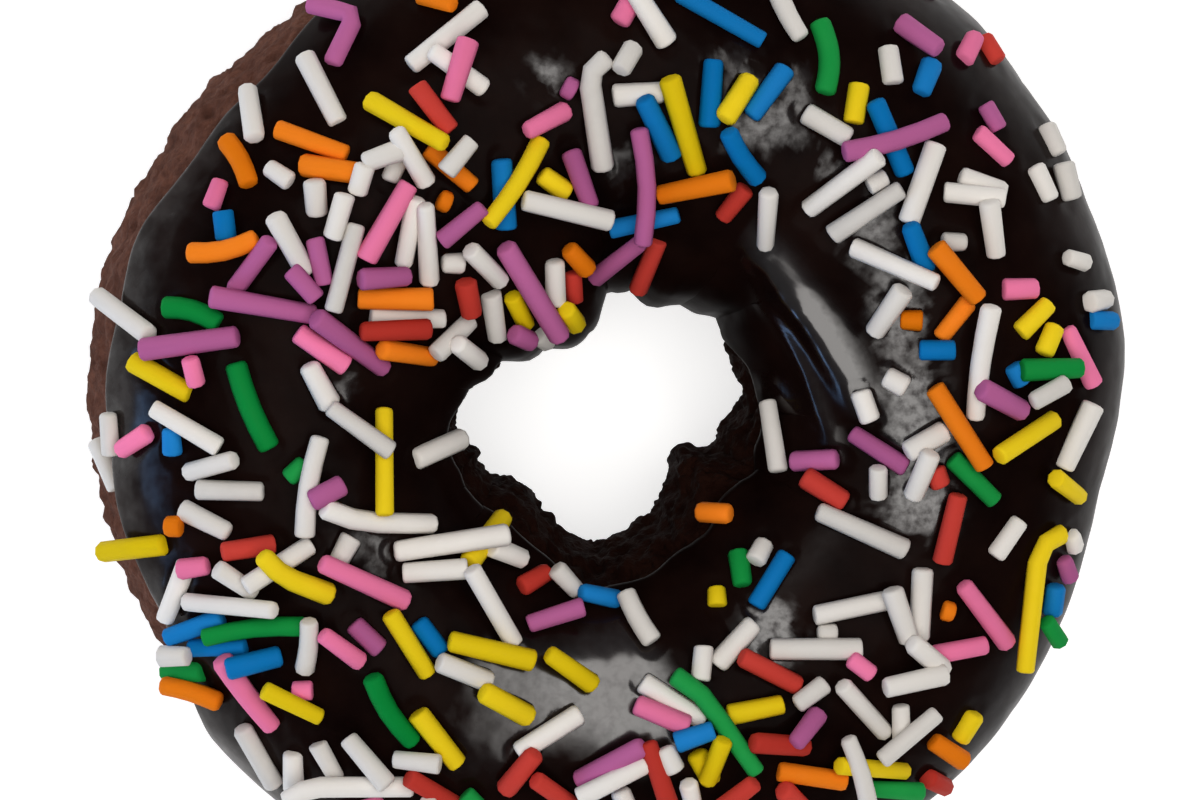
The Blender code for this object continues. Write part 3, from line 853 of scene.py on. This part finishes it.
def scatterStrays():
    names = list(colours)
    shares = [colours[name]["share"] for name in names]
    reach, down = frostingHigh.x, Vector((0, 0, -1))
    want = len(laid) + rod["strays"]
    while len(laid) < want:
        x, y = chance.uniform(-reach, reach), chance.choice((-1, 1)) * chance.uniform(32 * mm, reach)
        found = touch(Vector((x, y, 0.1)), down)
        if not found or found[1].z < 0.1 or found[0].z < 12 * mm:
            continue
        one = newRod(chance.choices(names, shares)[0], pick(lengths) * mm, pick(bends) * chance.choice((-1, 1)),
                     chance.uniform(0.3, 0.7), chance.uniform(0.3, 0.9), seen=False)
        turn = chance.uniform(0, math.pi)
        fits, lift = settle(found[0], found[1], down, Vector((math.cos(turn), math.sin(turn), 0)), one)
        nearest = min(abs(seenAt(point)[1]) for point in one["points"])
        if fits and lift < 1.2 * mm and nearest > rod["straysPast"]:
            keep(one)


def rodBody(one):
    # a capped cylinder with rounded rims, then bent along its own centreline
    radius, length = one["radius"], one["length"]
    cuts = 0 if abs(one["bend"]) < 8 else (3 if abs(one["bend"]) < 35 else 6)
    bm = bmesh.new()
    bmesh.ops.create_cone(bm, cap_ends=True, segments=rod["sides"], radius1=radius, radius2=radius, depth=length)
    rims = [edge for edge in bm.edges if abs(edge.verts[0].co.z - edge.verts[1].co.z) < length / 2]
    bmesh.ops.bevel(bm, geom=rims, offset=radius * chance.uniform(0.24, 0.42), segments=2, profile=0.5,
                    affect="EDGES", material=-1)
    if cuts:
        sidesLong = [edge for edge in bm.edges if abs(edge.verts[0].co.z - edge.verts[1].co.z) > length / 2]
        bmesh.ops.subdivide_edges(bm, edges=sidesLong, cuts=cuts, use_grid_fill=True)
    points = one["points"]
    last = len(points) - 1
    taper = chance.uniform(-0.08, 0.08)
    for vert in bm.verts:
        share = vert.co.z / length + 0.5
        at = min(max(share, 0), 1) * last
        low = min(int(at), last - 1)
        centre = points[low].lerp(points[low + 1], at - low)
        before, after = points[max(low - 1, 0)], points[min(low + 2, last)]
        ahead = (after - before).normalized()
        beside = one["up"].cross(ahead).normalized()
        above = ahead.cross(beside)
        wide = 1 + taper * (share - 0.5) * 2
        vert.co = centre + (beside * vert.co.x + above * vert.co.y) * wide
    return bm


def sprinkleMaterial(name):
    material, tree, shader = newMaterial(name)
    base = colours[name]["colour"]
    pale = tuple(min(1.0, channel * 1.12 + 0.015) for channel in base)
    deep = tuple(channel * 0.78 for channel in base)
    dust = placeGroup(tree, mottle, Scale=700, Contrast=1.6)
    each = blendColours(tree, attributeOf(tree, "tone"), deep, pale)
    shaded = blendColours(tree, spanValues(tree, dust.outputs[0], 0.0, 0.35), each, base)
    tree.links.new(shaded, shader.inputs["Base Color"])
    tree.links.new(spanValues(tree, dust.outputs[0], *rod["roughness"]), shader.inputs["Roughness"])
    shader.inputs["Specular IOR Level"].default_value = 0.05
    chalk = placeGroup(tree, grain, Scale=2200, Pore_Scale=1600, Pore_Depth=0.3)
    tree.links.new(bumpFrom(tree, chalk.outputs[0], 0.25, 0.08 * mm), shader.inputs["Normal"])
    return material


def makeSprinkles():
    for row in fallen:
        laySeen(*row)
    scatterStrays()
    print(len(laid), "rods")
    for name in colours:
        whole = bmesh.new()
        part = bpy.data.meshes.new("part")
        tones = []
        for one in laid:
            if one["colour"] == name:
                bm = rodBody(one)
                tones += [one["tone"]] * len(bm.verts)
                bm.to_mesh(part)
                bm.free()
                whole.from_mesh(part)
        bpy.data.meshes.remove(part)
        finishPiece("sprinkles_" + name, whole, sprinkleMaterial(name), {"tone": tones})


def sinkWells():
    # the frosting dips beside every rod that lies in it
    near = KDTree(len(laidPoints))
    for at, place in enumerate(laidPoints):
        near.insert(place, at)
    near.balance()
    gaps = np.array([near.find(place)[2] if top else 1.0 for place, top in zip(frostingCoords, frostingTop)])
    past = np.clip((gaps - rod["radius"]) / frosting["wellReach"], 0, None)
    return frostingCoords - frostingNormals * (frosting["wellDepth"] * np.exp(-past ** 2))[:, None]


print("sprinkles")
makeSprinkles()
setCoords(frostingMesh, sinkWells())
finishPiece("frosting_cap", frostingMesh, frostingMaterial(), frostingLooks, ["frosting"])


# Floor, light and camera

studio = dict(
    reach=3.0, wall=0.3, corner=0.25, floor=(0.86, 0.86, 0.86),
    # the floor's own glow, a painted light: strongest near the ring, fading farther out
    glowNear=0.60, glowFar=0.45, glowFrom=0.12, glowTo=0.6,
)

lamps = (
    # name, place, size, strength, colour
    ("overhead", (-0.06, 0.05, 0.93), (0.90, 0.90), 7.6, (1.0, 0.965, 0.93)),
    ("window", (-0.92, -0.30, 0.16), (0.50, 0.26), 1.9, (0.30, 0.55, 1.0)),
)


def makeStudio():
    # a wide round floor whose rim curves up into a low wall
    bm = bmesh.new()
    bmesh.ops.create_circle(bm, cap_ends=True, segments=96, radius=studio["reach"])
    rim = bm.edges[:]
    raised = bmesh.ops.extrude_edge_only(bm, edges=rim)["geom"]
    bmesh.ops.translate(bm, verts=[item for item in raised if isinstance(item, bmesh.types.BMVert)],
                        vec=(0, 0, studio["wall"]))
    bmesh.ops.bevel(bm, geom=rim, offset=studio["corner"], segments=8, profile=0.5, affect="EDGES", material=-1)
    bmesh.ops.recalc_face_normals(bm, faces=bm.faces)
    if max(bm.faces, key=lambda face: face.calc_area()).normal.z < 0:
        bmesh.ops.reverse_faces(bm, faces=bm.faces)
    mesh = bpy.data.meshes.new("floor")
    bm.to_mesh(mesh)
    bm.free()
    mesh.shade_smooth()
    material, tree, shader = newMaterial("floor")
    shader.inputs["Base Color"].default_value = (*studio["floor"], 1)
    shader.inputs["Roughness"].default_value = 0.9
    shader.inputs["Specular IOR Level"].default_value = 0.1
    # The floor glows by itself, brightest near the ring: painted light that keeps the ring's shadow and the hole
    # white and lights the ring from below.
    where = add(tree, "ShaderNodeTexCoord")
    away = add(tree, "ShaderNodeVectorMath", operation="LENGTH")
    fading = add(tree, "ShaderNodeMapRange", interpolation_type="SMOOTHSTEP")
    for label, value in (("From Min", "glowFrom"), ("From Max", "glowTo"), ("To Min", "glowNear"), ("To Max", "glowFar")):
        fading.inputs[label].default_value = studio[value]
    tree.links.new(where.outputs["Object"], away.inputs[0])
    tree.links.new(away.outputs["Value"], fading.inputs["Value"])
    tree.links.new(fading.outputs[0], shader.inputs["Emission Color"])
    shader.inputs["Emission Strength"].default_value = 1.0
    mesh.materials.append(material)
    floor = bpy.data.objects.new("floor", mesh)
    scene.collection.objects.link(floor)


def makeLamp(name, place, size, strength, colour):
    data = bpy.data.lights.new(name, "AREA")
    data.shape = "RECTANGLE"
    data.size, data.size_y = size
    data.energy = strength
    data.color = colour
    lamp = bpy.data.objects.new(name, data)
    scene.collection.objects.link(lamp)
    lamp.location = place
    lamp.rotation_mode = "QUATERNION"
    lamp.rotation_quaternion = (Vector((0, 0, 0.015)) - Vector(place)).to_track_quat("-Z", "Y")


def makeCamera():
    turned = Matrix((viewRight, viewUp, viewBack)).transposed().to_4x4()
    turned.translation = eye
    data = bpy.data.cameras.new("camera")
    data.sensor_width = 36
    data.lens = 36 * view["distance"] / view["width"]
    data.clip_start, data.clip_end = 0.05, 20
    camera = bpy.data.objects.new("camera", data)
    camera.matrix_world = turned
    scene.collection.objects.link(camera)
    scene.camera = camera


print("floor, light and camera")
makeStudio()
for lamp in lamps:
    makeLamp(*lamp)
makeCamera()
world = bpy.data.worlds.new("studio air")
world.use_nodes = True
world.node_tree.nodes["Background"].inputs["Color"].default_value = (0.9, 0.95, 1.0, 1)
world.node_tree.nodes["Background"].inputs["Strength"].default_value = 0.20
scene.world = world
scene.view_settings.view_transform = "Standard"
